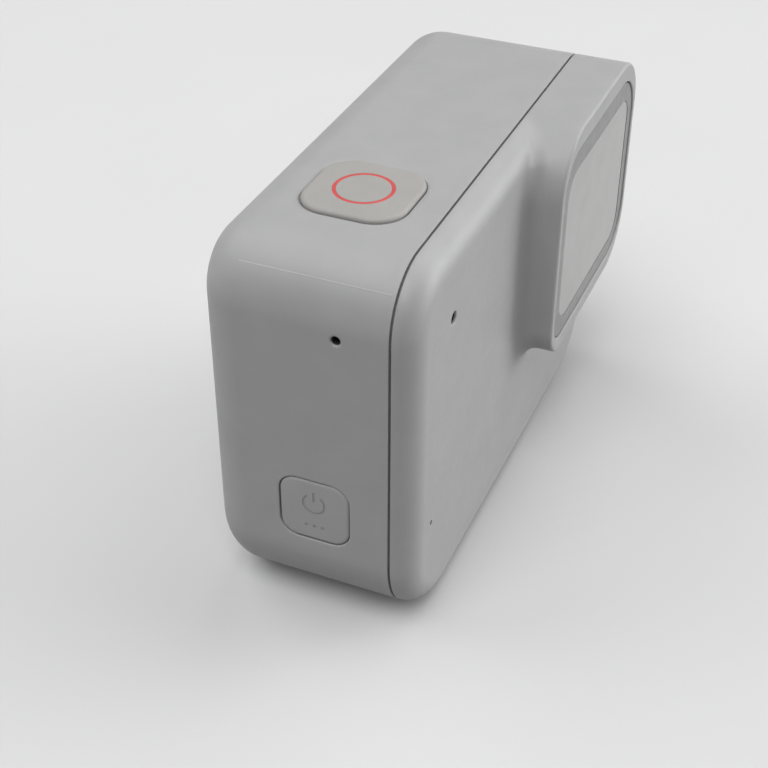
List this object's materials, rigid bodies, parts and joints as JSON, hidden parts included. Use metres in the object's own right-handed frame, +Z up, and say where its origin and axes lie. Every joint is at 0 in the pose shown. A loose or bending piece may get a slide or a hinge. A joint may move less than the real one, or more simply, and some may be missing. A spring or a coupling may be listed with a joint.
{
  "type": "action camera",
  "caption": "Compact sealed action camera with a raised square lens block, shutter and mode buttons, hinged port door and rear touch display.",
  "frame": {"origin": "under the middle of the camera's bounding box, on the surface that it stands on", "axes": "+Z up; +X along the width, towards the lens side; +Y from the lens side to the display, so the lens looks along -Y"},
  "size_m": [0.0624, 0.0284, 0.0452],
  "materials": {
    "case_plastic": "fine soft-touch grain",
    "shutter_silicone": "satin",
    "ring_red": "printed ring",
    "bezel_plastic": "satin",
    "cover_glass": "polished",
    "lens_glass": "coated",
    "filter_glass": "coated",
    "display_glass": "polished, black behind",
    "display_layers": "smooth",
    "black_plastic": "fine grain",
    "seal_rubber": "matt",
    "thermal_pad": "soft",
    "circuit_board": "solder mask",
    "sensor_chip": "polished die",
    "aluminium_frame": "blasted",
    "steel": "plated",
    "antenna_foil": "plated",
    "flex_film": "polyimide",
    "battery_wrap": "laminated pouch",
    "wire_cover": "smooth",
    "membrane": "vent membrane",
    "light_pipe": "clear"
  },
  "bodies": {
    "case": {"rear_body": "case_plastic", "front_cover": "case_plastic", "seam_gasket": "seal_rubber", "lens_bezel": "bezel_plastic", "lens_cover_glass": "cover_glass", "lens_glass_seal": "seal_rubber", "lens_mask": "bezel_plastic", "lens_barrel": "black_plastic", "lens_front_element": "lens_glass", "lens_middle_element": "lens_glass", "lens_rear_element": "lens_glass", "lens_holder": "black_plastic", "infrared_filter": "filter_glass", "image_sensor": "sensor_chip", "sensor_board": "circuit_board", "sensor_pad": "thermal_pad", "mid_frame": "aluminium_frame", "main_board": "circuit_board", "main_chip": "black_plastic", "chip_pad": "thermal_pad", "shield_can": "steel", "battery": "battery_wrap", "battery_tape": "seal_rubber", "battery_lead": "wire_cover", "display_glass": "display_glass", "display_tape": "seal_rubber", "display_panel": "display_layers", "display_flex": "flex_film", "speaker": "black_plastic", "speaker_mesh": "steel", "side_microphone": "steel", "side_mic_membrane": "membrane", "front_microphone": "steel", "front_mic_membrane": "membrane", "status_light": "light_pipe", "wifi_antenna": "antenna_foil", "shutter_seal": "seal_rubber", "shutter_switch": "black_plastic", "mode_seal": "seal_rubber", "mode_switch": "black_plastic", "hinge_pin": "steel", "port_frame": "black_plastic", "usb_socket": "steel", "usb_tongue": "black_plastic", "card_socket": "steel", "frame_screws": "steel", "board_screws": "steel", "lens_screws": "steel"},
    "shutter_button": {"shutter_cap": "shutter_silicone", "shutter_ring": "ring_red", "shutter_plunger": "steel"},
    "mode_button": {"mode_cap": "case_plastic", "mode_plunger": "steel"},
    "port_door": {"side_door": "case_plastic", "door_seal": "seal_rubber", "latch_spring": "steel"},
    "latch": {"door_latch": "bezel_plastic"}
  },
  "joints": [
    {"name": "shutter_press", "type": "slide", "parent": "case", "child": "shutter_button", "axis": [0, 0, -1], "range_m": [0, 0.0005], "stiffness_N_per_m": 2500, "springref_m": -0.0002},
    {"name": "mode_press", "type": "slide", "parent": "case", "child": "mode_button", "axis": [1, 0, 0], "range_m": [0, 0.0004], "stiffness_N_per_m": 2500, "springref_m": -0.0002},
    {"name": "door_hinge", "type": "hinge", "parent": "case", "child": "port_door", "pos_m": [0.0302, 0.0019, 0.03105], "axis": [0, -1, 0], "range_deg": [0, 95]},
    {"name": "latch_slide", "type": "slide", "parent": "port_door", "child": "latch", "axis": [0, 0, 1], "range_m": [0, 0.0009], "stiffness_N_per_m": 300, "springref_m": -0.001}
  ]
}
